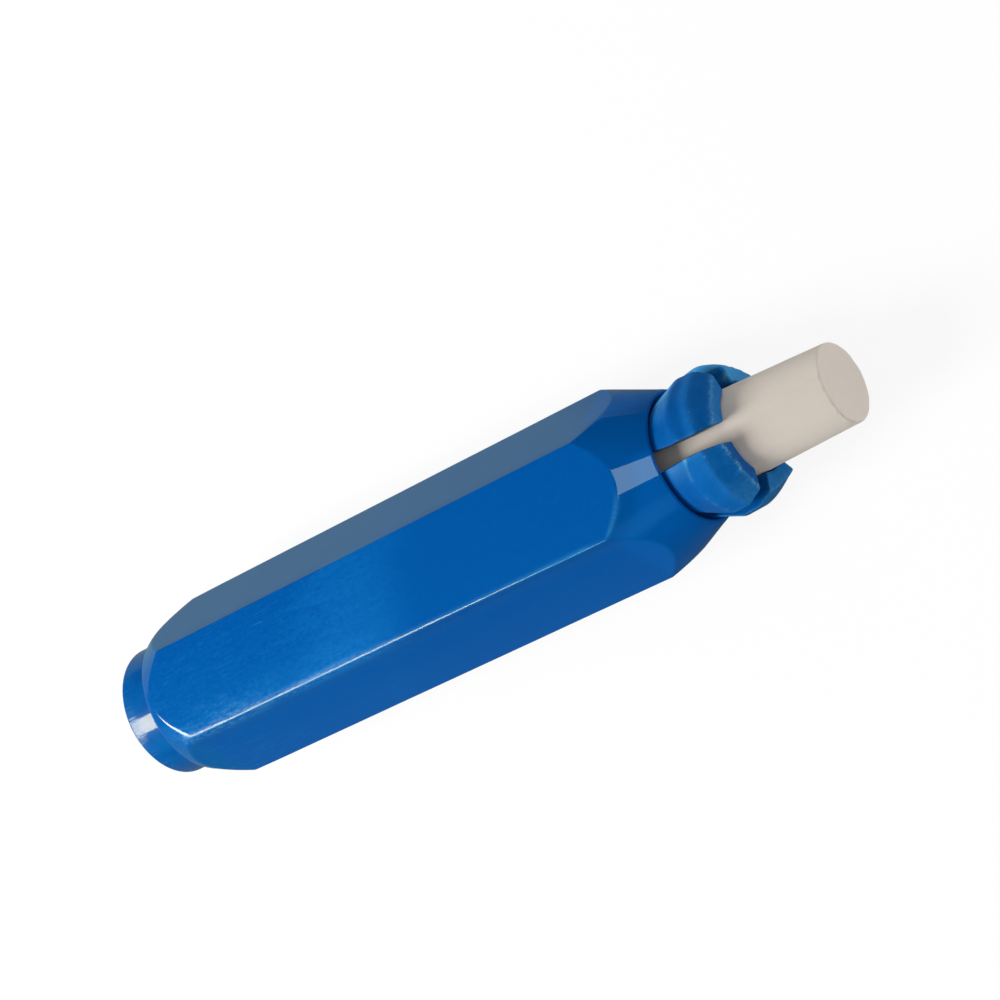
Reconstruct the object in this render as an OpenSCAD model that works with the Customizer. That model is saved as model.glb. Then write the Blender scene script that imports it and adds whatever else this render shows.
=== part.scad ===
// Push-button chalk holder: a six-sided barrel with a spring-loaded collet
// that grips a stick of chalk. Pressing the rear button pushes the collet
// forward out of the mouth, its five jaws spring open, and the chalk slides.
// X runs along the holder, +X (front) towards the chalk. The barrel lies on
// one flat at z = 0, and the jaws are drawn released, gripping the chalk.

/* [Barrel] */
// Width across the flats of the six-sided barrel
barrel_flats = 18; // [17.8:0.1:19]
// Distance from the origin forward to the mouth
mouth_x = 37.5; // [36.5:0.5:38]
// Distance from the origin back to the rear rim
rim_x = 34.9; // [34:0.1:36]
// Half angle of the front and rear cones
cone_angle = 22.8; // [21:0.1:24]
// Outer radius of the mouth lip
mouth_r = 7.4; // [7.3:0.05:7.6]
// Outer radius of the rear rim
rim_r = 8.5; // [8.3:0.05:8.7]
// Rounding of the six long edges
edge_round = 0.5; // [0.2:0.1:0.8]
// Radius of the rear bore that guides the button
rear_bore_r = 7.6; // [7.58:0.01:7.62]
// Radius of the front bore that guides the collet
front_bore_r = 6.3; // [6.28:0.01:6.32]
// Distance from the origin to the shoulder the spring pushes on
shoulder_x = 8; // [7.5:0.1:8.2]

/* [Collet] */
// Number of jaws a full turn is divided into
jaw_count = 5; // [4:1:6]
// Width of the parallel slots between the jaws
slot_w = 2.3; // [2:0.1:2.5]
// How far the jaws' front face stands out of the mouth
head_len = 7.6; // [7.2:0.1:8]
// Radius of the jaws' widest band, at the middle of a jaw
head_r = 7.7; // [7.5:0.05:7.8]
// Radius of the jaws' front face edge, at the middle of a jaw
nose_r = 6.38; // [6.2:0.02:6.5]
// Radius of the gripping bore
grip_r = 4.83; // [4.82:0.01:4.86]
// Slope of the seat behind the jaws, radius per length
seat_slope = 0.375; // [0.36:0.005:0.39]
// Distance from the origin to the root of the jaw fingers
root_x = 12; // [11.5:0.5:13]
// Inner radius of the collet's sleeve
sleeve_in_r = 5.1; // [5:0.05:5.2]
// Outer radius of the collet's sleeve
sleeve_out_r = 6.1; // [6:0.05:6.12]

/* [Button] */
// Radius of the push button
button_r = 7.53; // [7.5:0.01:7.55]
// How far the button stands out of the rear rim
button_out = 4.6; // [4.5:0.1:5.2]
// Distance from the origin back to the button's front face
button_front_x = 27; // [26.5:0.1:27.5]

/* [Spring] */
// Wire thickness of the return spring
wire_d = 0.8; // [0.6:0.1:0.9]
// Number of open coils
open_coils = 7; // [5:1:9]
// Mean radius of the coils
coil_r = 7.0; // [6.95:0.01:7.05]

/* [Chalk] */
// Length of the stick of chalk
chalk_len = 80; // [70:1:81]
// How far the chalk stands out of the jaws
chalk_out = 11.5; // [10:0.5:20]
// Radius of the chalk's body
chalk_r = 4.8; // [4.7:0.01:4.81]
// Radius of the chalk's writing end
chalk_tip_r = 4.28; // [4.1:0.02:4.5]

/* [Hidden] */

axis_z = barrel_flats / 2;          // height of the centre line above the flat
cut = 1;                            // how far cutters run past what they cut
jaw_seat_r = 6.65;                  // radius of the jaws' back cone at the mouth
head_x = mouth_x + head_len;        // jaws' front face
tail_x = -rim_x + 1.9;              // rear end of the collet's sleeve

barrel_blue = [0.02, 0.36, 0.68];
collet_blue = [0.05, 0.42, 0.74];
steel_grey = [0.7, 0.71, 0.73];
chalk_white = [0.86, 0.84, 0.8];

// ---- helpers -------------------------------------------------------------

// Lays children drawn along +Z on the centre line, starting at x.
// Their -X side then faces up.
module on_axis(x = 0)
    translate([x, 0, axis_z]) rotate([0, 90, 0]) children();

// A solid turned about the centre line from [radius, x] points.
module turned(points)
    on_axis() rotate_extrude($fn = 96) polygon(points);

// A bore along the centre line from x0 to x1.
module bore(r, x0, x1)
    on_axis(x0) cylinder(r = r, h = x1 - x0, $fn = 96);

// ---- barrel --------------------------------------------------------------

rim_bevel = 0.35;       // radial size of the rim's outer bevel
mouth_bevel = 0.25;     // radial size of the mouth lip's outer bevel
bevel_len = 0.3;        // length of both outer bevels
bore_bevel = 0.25;      // bevel of the rear bore's edge
seat_gap = 0.05;        // seat clearance with the collet released
flare_r = 6.95;         // radius of the seat's flared edge at the mouth
flare_len = 0.4;        // length of that flare

// Hexagonal bar with coned ends and rounded long edges.
module barrel_body() {
    cone_slope = tan(cone_angle);
    // the long edges are taken off to the reach of their rounding
    edge_r = (barrel_flats / 2 - edge_round) / cos(30) + edge_round;
    rear_cone_x = -rim_x + bevel_len;
    front_cone_x = mouth_x - bevel_len;
    intersection() {
        on_axis(-rim_x) rotate([0, 0, 30])
            cylinder(r = barrel_flats / 2 / cos(30), h = rim_x + mouth_x, $fn = 6);
        turned([
            [0, -rim_x - cut],
            [rim_r - rim_bevel, -rim_x - cut],
            [rim_r - rim_bevel, -rim_x],
            [rim_r, rear_cone_x],
            [edge_r, rear_cone_x + (edge_r - rim_r) / cone_slope],
            [edge_r, front_cone_x - (edge_r - mouth_r) / cone_slope],
            [mouth_r, front_cone_x],
            [mouth_r - mouth_bevel, mouth_x],
            [mouth_r - mouth_bevel, mouth_x + cut],
            [0, mouth_x + cut]]);
    }
}

// Cutter for the conical seat behind the jaws and the flare in front of it.
module seat_cutter() {
    seat_r = jaw_seat_r + seat_gap;     // seat radius, carried on to the mouth
    seat_end = mouth_x - (seat_r - front_bore_r) / seat_slope;
    turned([
        [0, seat_end],
        [front_bore_r, seat_end],
        [seat_r - seat_slope * flare_len, mouth_x - flare_len],
        [flare_r, mouth_x],
        [flare_r, mouth_x + cut],
        [0, mouth_x + cut]]);
}

module barrel() {
    color(barrel_blue) difference() {
        barrel_body();
        bore(rear_bore_r, -rim_x - cut, shoulder_x);
        bore(front_bore_r, shoulder_x - cut, mouth_x + cut);
        seat_cutter();
        turned([
            [0, -rim_x - cut],
            [rear_bore_r + bore_bevel, -rim_x - cut],
            [rear_bore_r + bore_bevel, -rim_x],
            [rear_bore_r, -rim_x + bore_bevel],
            [0, -rim_x + bore_bevel]]);
    }
}

// ---- collet sleeve -------------------------------------------------------

tail_bevel = 0.4;                   // bevel of the sleeve's rear edge
collar_r = front_bore_r - 0.08;     // front part that slides in the front bore
collar_x = shoulder_x + 0.8;        // rear end of the collar
collar_bevel_len = 0.4;             // length of the cone up to the collar
snap_r = 6.35;                      // snap bead on the sleeve's tail
bead_x = tail_x + 1.9;              // middle of the bead
crest_half = 0.3;                   // half the length of the bead's crest
bead_half = 0.7;                    // half the length of the bead's foot

// Profile of the bead, grown by gap in radius and by play at each end.
function bead_profile(gap = 0, play = 0) = [
    [sleeve_out_r + gap, bead_x - bead_half - play],
    [snap_r + gap, bead_x - crest_half - play],
    [snap_r + gap, bead_x + crest_half + play],
    [sleeve_out_r + gap, bead_x + bead_half + play]];

module collet_sleeve() {
    color(collet_blue) difference() {
        turned([
            [0, tail_x],
            [sleeve_out_r - tail_bevel, tail_x],
            [sleeve_out_r, tail_x + tail_bevel],
            each bead_profile(),
            [sleeve_out_r, collar_x - collar_bevel_len],
            [collar_r, collar_x],
            [collar_r, root_x],
            [0, root_x]]);
        bore(sleeve_in_r, tail_x - cut, root_x + cut);
    }
}

// ---- jaws ----------------------------------------------------------------

pitch_deg = 360 / jaw_count;        // angle from one jaw to the next
neck_r = 5.72;                      // fingers just behind the head
neck_x = 28.9;                      // rear end of that neck
band_front_x = head_x - 2.1;        // front end of the widest band
band_rear_x = head_x - 4.7;         // rear end of the widest band
band_flare = 0.12;                  // extra radius at the band's rear end
head_offset = 4;                    // jaws are flatter than a full circle
head_overlap = 0.5;                 // how far the finger runs into the head
// where the back cone of the head meets the neck
head_back_x = mouth_x - (jaw_seat_r - neck_r) / seat_slope;

// The wedge of space between two neighbouring slots, for the jaw pointing up.
module between_slots() {
    half = pitch_deg / 2;
    apex = slot_w / 2 / sin(half);
    reach = 30;                     // sides of the wedge, well past the head
    on_axis(root_x) linear_extrude(head_x - root_x)
        polygon([
            [-apex, 0],
            [-apex - reach * cos(half), reach * sin(half)],
            [-apex - reach * cos(half), -reach * sin(half)]]);
}

// Spring fingers before slotting, tapering towards the neck.
module finger_blank()
    turned([
        [0, root_x],
        [sleeve_out_r, root_x],
        [neck_r, neck_x],
        [neck_r, head_back_x + head_overlap],
        [0, head_back_x + head_overlap]]);

// Head of the upward jaw: flatter outer surface cut by the concentric back cone.
module head_blank() {
    band_r = head_r + head_offset;
    intersection() {
        translate([0, 0, -head_offset]) turned([
            [0, head_back_x],
            [band_r + band_flare, head_back_x],
            [band_r + band_flare, band_rear_x],
            [band_r, band_front_x],
            [nose_r + head_offset, head_x],
            [0, head_x]]);
        turned([
            [0, head_back_x - cut],
            [neck_r, head_back_x - cut],
            [neck_r, head_back_x],
            [neck_r + seat_slope * (head_x - head_back_x), head_x],
            [0, head_x]]);
    }
}

// One jaw with its spring finger, pointing up.
module jaw_up() {
    taper_start = neck_x - 3;       // the wider bore narrows to the grip from here
    taper_end = neck_x - 1;
    difference() {
        intersection() {
            between_slots();
            union() {
                finger_blank();
                head_blank();
            }
        }
        bore(grip_r, root_x - cut, head_x + cut);
        turned([
            [0, root_x - cut],
            [sleeve_in_r, root_x - cut],
            [sleeve_in_r, taper_start],
            [grip_r, taper_end],
            [0, taper_end]]);
    }
}

// Jaw i, counted from the slot at the top towards +Y.
module jaw(i)
    color(collet_blue)
        translate([0, 0, axis_z]) rotate([-(i - 0.5) * pitch_deg, 0, 0])
            translate([0, 0, -axis_z]) jaw_up();

module jaw_1() jaw(1);
module jaw_2() jaw(2);
module jaw_3() jaw(3);
module jaw_4() jaw(4);
module jaw_5() jaw(5);

// ---- return spring -------------------------------------------------------

end_gap = 0.03;                     // clearance at each end of the spring
spring_len = shoulder_x + button_front_x - 2 * end_gap;
closed_pitch = wire_d + 0.05;
open_pitch = (spring_len - wire_d - 2 * closed_pitch) / open_coils;
turns = open_coils + 2;
steps = 18;                         // wire sections per turn
sides = 8;                          // corners of a wire section

// Axial place of the wire's centre after t turns, with one closed coil at
// each end and evenly spaced open coils between them.
function wire_x(t) = wire_d / 2
    + closed_pitch * min(t, 1)
    + open_pitch * max(0, min(t - 1, open_coils))
    + closed_pitch * max(0, t - 1 - open_coils);

// Corner j of wire section i.
function wire_point(i, j) =
    let (turn = i / steps,
         coil_angle = 360 * turn,
         side_angle = 360 * j / sides,
         r = coil_r + wire_d / 2 * cos(side_angle))
    [wire_x(turn) + wire_d / 2 * sin(side_angle),
     r * sin(coil_angle),
     r * cos(coil_angle)];

module spring() {
    last = turns * steps;
    points = [for (i = [0:last], j = [0:sides - 1]) wire_point(i, j)];
    // two triangles for each side between neighbouring sections
    walls = [for (i = [0:last - 1], j = [0:sides - 1])
        let (k = (j + 1) % sides, here = i * sides, next = here + sides)
            each [[here + j, here + k, next + k],
                  [here + j, next + k, next + j]]];
    caps = [[for (j = [0:sides - 1]) sides - 1 - j],
            [for (j = [0:sides - 1]) last * sides + j]];
    color(steel_grey) translate([-button_front_x + end_gap, 0, axis_z])
        polyhedron(points, concat(walls, caps), convexity = 20);
}

// ---- push button ---------------------------------------------------------

socket_gap = 0.04;      // radial clearance around the sleeve's tail
socket_play = 0.1;      // clearance along X behind the tail and around the bead
button_floor = 1.6;     // thickness of the button's rear wall
front_bevel = 0.3;      // bevel of the button's front edge

module push_button() {
    end_x = -rim_x - button_out;
    socket_r = sleeve_out_r + socket_gap;
    color(barrel_blue) difference() {
        // the rear edge is rounded off in two steps
        turned([
            [0, end_x],
            [button_r - 0.5, end_x],
            [button_r - 0.15, end_x + 0.15],
            [button_r, end_x + 0.5],
            [button_r, -button_front_x - front_bevel],
            [button_r - front_bevel, -button_front_x],
            [0, -button_front_x]]);
        // socket for the sleeve's tail, with the groove its bead snaps into
        bore(socket_r, tail_x - socket_play, -button_front_x + cut);
        turned([
            [0, bead_x - bead_half - socket_play],
            each bead_profile(socket_gap, socket_play),
            [0, bead_x + bead_half + socket_play]]);
        // pocket the chalk's rear end can reach into
        bore(sleeve_in_r, end_x + button_floor, tail_x + cut);
    }
}

// ---- chalk ---------------------------------------------------------------

module chalk_stick() {
    tip_x = head_x + chalk_out;
    rear_x = tip_x - chalk_len;
    rear_bevel = 0.3;
    tip_bevel = 0.15;
    // the body narrows in two cones, the first from 16 to 11 behind the tip
    knee_r = chalk_tip_r + (chalk_r - chalk_tip_r) * 0.7;
    color(chalk_white) turned([
        [0, rear_x],
        [chalk_r - rear_bevel, rear_x],
        [chalk_r, rear_x + rear_bevel],
        [chalk_r, tip_x - 16],
        [knee_r, tip_x - 11],
        [chalk_tip_r, tip_x - tip_bevel],
        [chalk_tip_r - tip_bevel, tip_x],
        [0, tip_x]]);
}

barrel();
collet_sleeve();
jaw_1();
jaw_2();
jaw_3();
jaw_4();
jaw_5();
spring();
push_button();
chalk_stick();
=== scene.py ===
"""A push-button chalk holder: a hexagonal plastic barrel, a five-jaw collet on a sleeve, a push
button, a return spring and a stick of chalk.

The holder lies on the floor along X. +X is its front, where the barrel's mouth, the jaws and the
chalk's writing end are; the button is at -X. +Z is up and the camera looks from the near side, -Y.
Meshes are worked out in millimetres and built in metres. Angles round the centre line (phi) run
from +Z towards +Y.
"""
import math
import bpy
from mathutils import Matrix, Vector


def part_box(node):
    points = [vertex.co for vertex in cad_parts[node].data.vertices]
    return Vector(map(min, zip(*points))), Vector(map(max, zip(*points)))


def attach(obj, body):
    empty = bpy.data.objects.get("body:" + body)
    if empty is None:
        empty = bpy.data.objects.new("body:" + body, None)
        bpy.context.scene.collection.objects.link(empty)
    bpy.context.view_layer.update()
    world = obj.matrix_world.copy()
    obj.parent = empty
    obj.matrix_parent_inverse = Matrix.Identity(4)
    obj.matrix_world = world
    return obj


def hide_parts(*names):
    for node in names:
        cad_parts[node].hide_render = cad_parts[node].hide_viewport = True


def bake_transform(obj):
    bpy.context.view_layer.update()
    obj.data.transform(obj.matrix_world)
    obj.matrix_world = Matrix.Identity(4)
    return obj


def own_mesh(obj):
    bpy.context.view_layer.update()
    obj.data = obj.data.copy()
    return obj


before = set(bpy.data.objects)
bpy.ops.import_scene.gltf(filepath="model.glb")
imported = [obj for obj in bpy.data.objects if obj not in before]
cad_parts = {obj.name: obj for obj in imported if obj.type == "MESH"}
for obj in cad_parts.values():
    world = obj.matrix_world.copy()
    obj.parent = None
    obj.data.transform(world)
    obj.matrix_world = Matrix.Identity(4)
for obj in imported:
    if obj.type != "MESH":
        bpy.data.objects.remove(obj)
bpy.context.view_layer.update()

from types import SimpleNamespace

import bpy
import numpy as np
from mathutils import Matrix, Vector

MM = 0.001


def mm_box(node):
    lo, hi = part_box(node)
    return np.array(lo) * 1000.0, np.array(hi) * 1000.0


# ---------------------------------------------------------------- sizes, in millimetres
BARREL_LO, BARREL_HI = mm_box("barrel")
BUTTON_LO, BUTTON_HI = mm_box("push_button")
CHALK_LO, CHALK_HI = mm_box("chalk_stick")
JAW_LO, JAW_HI = mm_box("jaw_3")
SPRING_LO, SPRING_HI = mm_box("spring")
AXIS_Z = (BARREL_LO[2] + BARREL_HI[2]) / 2
TAIL_X = mm_box("collet_sleeve")[0][0]      # rear end of the sleeve

# barrel
FLAT_R = (BARREL_HI[2] - BARREL_LO[2]) / 2  # centre line to a flat
HALF_SIDE = FLAT_R * math.tan(math.pi / 6)  # half the width of a flat
MOUTH_X, RIM_X = BARREL_HI[0], BARREL_LO[0]
MOUTH_R, RIM_R = 7.4, 8.5
CONE_SLOPE = math.tan(math.radians(22.8))   # of both end cones
CONE_COS = math.cos(math.atan(CONE_SLOPE))
REAR_BORE, FRONT_BORE, SHOULDER_X = 7.6, 6.3, 8.0

# collet
HEAD_X, ROOT_X = JAW_HI[0], JAW_LO[0]       # front and rear ends of a jaw with its finger
GRIP_R, SLEEVE_IN, SLEEVE_OUT = 4.83, 5.1, 6.1
NECK_R, NECK_X = 5.72, 28.9
SEAT_SLOPE = 0.375                          # of the jaws' back cone
JAW_SEAT_R = 6.65
BACK_X = MOUTH_X - (JAW_SEAT_R - NECK_R) / SEAT_SLOPE   # where the back cone leaves the neck
JAW_HALF = math.radians(36)                 # half of a jaw's share of the circle
JAW_SLIT = 1.15                             # how far a plain side wall stands in from its share
NOSE_LENGTH, NOSE_R = 2.1, 7.64             # chamfer's length, and the radius at its rear
NOSE_X = HEAD_X - NOSE_LENGTH
BAND_TAPER = 0.055

BUTTON_R = (BUTTON_HI[2] - BUTTON_LO[2]) / 2
CHALK_R, CHALK_TIP_R = (CHALK_HI[2] - CHALK_LO[2]) / 2, 4.28


# ---------------------------------------------------------------- noise and distance fields
def value_noise(p, seed=0):
    """Smooth lattice noise in -1..1 at the points p (n, 3), its lattice from an integer hash."""
    i = np.floor(p).astype(np.int64)
    f = p - i
    f = f * f * f * (f * (f * 6 - 15) + 10)
    out = np.zeros(len(p))
    for dx in (0, 1):
        for dy in (0, 1):
            for dz in (0, 1):
                h = ((i[:, 0] + dx) * 374761393 + (i[:, 1] + dy) * 668265263
                     + (i[:, 2] + dz) * 2147483647 + seed * 974634777) & 0xFFFFFFFF
                h = ((h ^ (h >> 13)) * 1274126177) & 0xFFFFFFFF
                h = (h ^ (h >> 16)) & 0xFFFF
                weight = (np.where(dx, f[:, 0], 1 - f[:, 0]) * np.where(dy, f[:, 1], 1 - f[:, 1])
                          * np.where(dz, f[:, 2], 1 - f[:, 2]))
                out += weight * (h / 32767.5 - 1.0)
    return out


def layered_noise(p, seed, octaves):
    """Value noise summed over octaves, each half as strong as the one before."""
    out, strength, total = np.zeros(len(p)), 1.0, 0.0
    for octave in range(octaves):
        out += strength * value_noise(p * (2.03 ** octave) + 17.3 * octave, seed + octave)
        total += strength
        strength *= 0.5
    return out / total


def round_max(fields, radius):
    """Field of the shape inside every field, with its outer edges rounded."""
    top = np.maximum.reduce(fields)
    squares = sum(np.maximum(f + radius, 0.0) ** 2 for f in fields)
    return np.minimum(top, -radius) + np.sqrt(squares)


def smooth_min(a, b, width):
    h = np.clip(0.5 + 0.5 * (b - a) / width, 0, 1)
    return b * (1 - h) + a * h - width * h * (1 - h)


def ridge(a, b, width):
    """1 where the surfaces a = 0 and b = 0 meet, falling off over width."""
    return np.exp(-(np.maximum(np.abs(a), np.abs(b)) / width) ** 2)


def wrap(angle):
    """The angle brought into -pi..pi."""
    return (angle + math.pi) % (2 * math.pi) - math.pi


# ---------------------------------------------------------------- meshes
def build(name, verts, faces, normals=None, attributes=None):
    """A smooth mesh object from millimetre points; normals, if given, are one per vertex."""
    mesh = bpy.data.meshes.new(name)
    coords = np.asarray(verts, np.float64) * MM
    mesh.vertices.add(len(coords))
    mesh.vertices.foreach_set("co", coords.astype(np.float32).ravel())
    sizes = np.array([len(face) for face in faces], np.int32)
    corners = np.concatenate(faces).astype(np.int32)
    mesh.loops.add(len(corners))
    mesh.loops.foreach_set("vertex_index", corners)
    mesh.polygons.add(len(sizes))
    starts = np.concatenate([[0], np.cumsum(sizes)[:-1]]).astype(np.int32)
    mesh.polygons.foreach_set("loop_start", starts)
    mesh.update(calc_edges=True)
    mesh.validate()
    mesh.polygons.foreach_set("use_smooth", np.ones(len(mesh.polygons), bool))
    for key, values in (attributes or {}).items():
        attribute = mesh.attributes.new(key, "FLOAT", "POINT")
        attribute.data.foreach_set("value", np.asarray(values, np.float32))
    if normals is not None:
        unit = normals / np.maximum(np.linalg.norm(normals, axis=1, keepdims=True), 1e-9)
        mesh.normals_split_custom_set_from_vertices([tuple(n) for n in unit])
    obj = bpy.data.objects.new(name, mesh)
    bpy.context.scene.collection.objects.link(obj)
    return obj


def grid_faces(rows, cols, wrap_rows=False):
    """Quads of a rows x cols grid of points whose columns close into rings."""
    row, col = np.meshgrid(np.arange(rows if wrap_rows else rows - 1), np.arange(cols),
                           indexing="ij")
    row2, col2 = (row + 1) % rows, (col + 1) % cols
    return np.stack([row * cols + col, row * cols + col2, row2 * cols + col2, row2 * cols + col],
                    -1).reshape(-1, 4)


def capped_faces(rows, cols, swap=False):
    """Grid quads and a fan at each end, round two centre points that follow the grid's points.
    swap winds the fans the other way."""
    faces = list(grid_faces(rows, cols))
    centre, last = rows * cols, (rows - 1) * cols
    for k in range(cols):
        i, j = k, (k + 1) % cols
        if swap:
            i, j = j, i
        faces.append([centre, j, i])
        faces.append([centre + 1, last + i, last + j])
    return faces


def outward(verts, faces):
    """Turns the quads of a closed mesh round if its volume is negative."""
    a, b, c, d = (verts[faces[:, k]] for k in range(4))
    volume = np.einsum("ij,ij->i", a, np.cross(b, c)).sum()
    volume += np.einsum("ij,ij->i", a, np.cross(c, d)).sum()
    return faces[:, ::-1] if volume < 0 else faces


def fillet_profile(corners, steps, long_step):
    """A polyline of corners (r, x, fillet radius) with its corners rounded.

    Returns rows of (r, x, nr, nx), normals to the left of travel. steps is the number of fillet
    steps per radian; straights are cut about every long_step.
    """
    points = [np.array(corner[:2], float) for corner in corners]
    rows = []

    def unit(v):
        return v / np.linalg.norm(v)

    def left(d):
        return np.array([-d[1], d[0]])

    def cut_straight(start, end, d):
        count = int(np.linalg.norm(end - start) / long_step)
        for k in range(1, count):
            rows.append((start + (end - start) * k / count, left(d)))

    start = points[0]
    rows.append((start, left(unit(points[1] - start))))
    for i in range(1, len(points) - 1):
        d, e = unit(points[i] - points[i - 1]), unit(points[i + 1] - points[i])
        turn = math.acos(max(-1, min(1, float(d @ e))))
        radius = corners[i][2]
        cut = radius * math.tan(turn / 2)
        fillet_start = points[i] - d * cut
        cut_straight(start, fillet_start, d)
        sign = 1.0 if d[0] * e[1] - d[1] * e[0] > 0 else -1.0
        normal = left(d)
        centre = fillet_start + sign * normal * radius
        arm = fillet_start - centre
        count = max(3, int(steps * turn) + 2)
        for k in range(count + 1):
            angle = sign * turn * k / count
            c, s = math.cos(angle), math.sin(angle)
            spin = [np.array([v[0] * c - v[1] * s, v[0] * s + v[1] * c]) for v in (arm, normal)]
            rows.append((centre + spin[0], spin[1]))
        start = points[i] + e * cut
    d = unit(points[-1] - points[-2])
    cut_straight(start, points[-1], d)
    rows.append((points[-1], left(d)))
    return np.array([np.concatenate(row) for row in rows])


def turned(profile, angles, dent=0.0):
    """Points and left-hand normals, (rows, columns, 3), of a profile turned about the centre
    line; dent is added to the radius."""
    s, c = np.sin(angles)[None], np.cos(angles)[None]
    radius = profile[:, :1] + dent
    x, nr, nx = profile[:, 1:2], profile[:, 2:3], profile[:, 3:4]
    points = np.stack([x + 0 * s, radius * s, AXIS_Z + radius * c], -1)
    return points, np.stack([nx + 0 * s, nr * s, nr * c], -1)


def ring_angles(count):
    return np.linspace(0, 2 * math.pi, count, endpoint=False)


def surface_nets(field, xs, ys, zs):
    """Quads of field < 0 on a rectilinear grid, their points pulled onto the surface.
    Returns points, quads and the field's gradient at the points."""
    grid = np.meshgrid(xs, ys, zs, indexing="ij")
    values = field(np.stack([g.ravel() for g in grid], 1)).reshape(grid[0].shape)
    solid = values < 0
    cells = np.array(values.shape) - 1
    count = np.zeros(cells)
    total = np.zeros((3,) + tuple(cells))
    crossings = []
    for axis in range(3):
        lo, hi = [slice(None)] * 3, [slice(None)] * 3
        lo[axis], hi[axis] = slice(0, -1), slice(1, None)
        lo, hi = tuple(lo), tuple(hi)
        f0, f1 = values[lo], values[hi]
        crossed = solid[lo] != solid[hi]
        t = np.where(crossed, f0 / np.where(crossed, f0 - f1, 1.0), 0.0)
        place = [np.where(crossed, g[lo] + (g[hi] - g[lo]) * t, 0.0) for g in grid]
        crossings.append((crossed, solid[lo]))
        a, b = [k for k in range(3) if k != axis]
        for da in (0, 1):
            for db in (0, 1):
                part = [slice(None)] * 3
                part[a] = slice(da, da + cells[a])
                part[b] = slice(db, db + cells[b])
                part[axis] = slice(0, cells[axis])
                part = tuple(part)
                count += crossed[part]
                for k in range(3):
                    total[k] += place[k][part]
    active = count > 0
    index = -np.ones(cells, np.int64)
    index[active] = np.arange(active.sum())
    points = np.stack([total[k][active] / count[active] for k in range(3)], 1)

    quads = []
    for axis, (crossed, inside) in enumerate(crossings):
        a, b = [k for k in range(3) if k != axis]
        core = [slice(None)] * 3
        core[a] = core[b] = slice(1, -1)
        core = tuple(core)
        kept = np.zeros_like(crossed)
        kept[core] = crossed[core]
        edges = np.argwhere(kept)

        def cell(da, db):
            q = edges.copy()
            q[:, a] += da
            q[:, b] += db
            return index[q[:, 0], q[:, 1], q[:, 2]]
        quad = np.stack([cell(-1, -1), cell(0, -1), cell(0, 0), cell(-1, 0)], 1)
        if axis == 1:
            quad = quad[:, ::-1]
        quads.append(np.where(inside[kept][:, None], quad, quad[:, ::-1]))

    reach = 0.01

    def gradient(p):
        g = np.zeros_like(p)
        for k in range(3):
            d = np.zeros(3)
            d[k] = reach
            g[:, k] = (field(p + d) - field(p - d)) / (2 * reach)
        return g
    for _ in range(4):
        g = gradient(points)
        step = field(points) / np.maximum((g * g).sum(1), 0.05)
        points = points - g * np.clip(step, -0.06, 0.06)[:, None]
    return points, np.concatenate(quads), gradient(points)


# ---------------------------------------------------------------- barrel
# width of the wear beside the near long edge: x, width
EDGE_WEAR = np.array([
    (-31, 0.48), (-27, 0.40), (-24, 0.30), (-10, 0.27), (5, 0.25),
    (10, 0.22), (20, 0.15), (28, 0.05), (31, 0.04)]).T
# strength of the pale line along the near long edge, partly wear and partly painted highlight: x,
# strength
EDGE_RUB_AND_HIGHLIGHT = np.array([
    (-31.5, 0), (-29.5, 0.85), (12, 0.82), (20, 0.95), (27, 1.0), (29.5, 0)]).T
# columns across half a flat, in degrees from its long edge
EDGE_STEPS = [0, 0.14, 0.28, 0.44, 0.62, 0.82, 1.04, 1.28, 1.55, 1.85, 2.2, 2.6, 3.05, 3.6, 4.3,
              5.2, 6.5, 8.3, 10.6, 13.2, 16, 19, 22, 25, 28]
FINE_END_X = 28.2                # the end rings are evenly fine beyond this, front and rear


def front_cone_r(x):
    return MOUTH_R + CONE_SLOPE * (MOUTH_X - 0.3 - x)


def rear_cone_r(x):
    return RIM_R + 0.08 + CONE_SLOPE * (x - RIM_X - 0.15)


def flat_angle(phi):
    """Angle from the middle of the flat that phi falls on."""
    return (phi + math.pi / 6) % (math.pi / 3) - math.pi / 6


def barrel_field(x, phi, r):
    """Distance to the barrel's outside at polar points about the centre line."""
    edge_r = 0.16 + 0.22 * np.clip((-x - 24.0) / 6.0, 0, 1) ** 2    # rounder at the rear
    # the near long edge stands a tenth of a millimetre proud of a true hexagon
    y, z = r * np.sin(phi), r * np.cos(phi)
    pull = 0.115 * np.exp(-((y + HALF_SIDE) ** 2 + (z - FLAT_R) ** 2) / 1.4 ** 2)
    hex_r, hex_phi = np.hypot(y + pull, z), np.arctan2(y + pull, z)
    angle = flat_angle(hex_phi)
    across, along = hex_r * np.cos(angle), np.abs(hex_r * np.sin(angle))
    half = (FLAT_R - edge_r) * math.tan(math.pi / 6)
    d = across - (FLAT_R - edge_r)
    corner = (along > half) & (d > 0)
    rounded = np.sqrt(np.maximum(d, 0) ** 2 + np.maximum(along - half, 0) ** 2)
    hexagon = np.where(corner, rounded, d) - edge_r
    # the upper flat rolls off into the near edge, most at the rear
    near = np.abs(wrap(hex_phi) + math.radians(14.0)) < math.radians(16.0)
    wear = np.interp(x, *EDGE_WEAR)
    wear = wear * (1 + 0.14 * np.sin(x * 1.9) * np.sin(x * 0.71 + 1.0)
                   + 0.08 * np.sin(x * 5.3 + 2.0))
    wear = np.where(near, wear, 0.10)
    from_edge = HALF_SIDE - along
    hexagon = hexagon + 0.165 * wear * np.maximum(0, 1 - np.maximum(from_edge, 0) / wear) ** 2
    front = (r - front_cone_r(x)) * CONE_COS
    rear = (r - rear_cone_r(x)) * CONE_COS
    # the flats run softly into the cones, softest at the rear of the near long edge
    spread = np.exp(-((np.degrees(wrap(phi)) + 29.0) / 11.0) ** 2)
    return round_max([hexagon, front, rear], np.where(x > 0, 0.07, 0.09 + 0.24 * spread))


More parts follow.
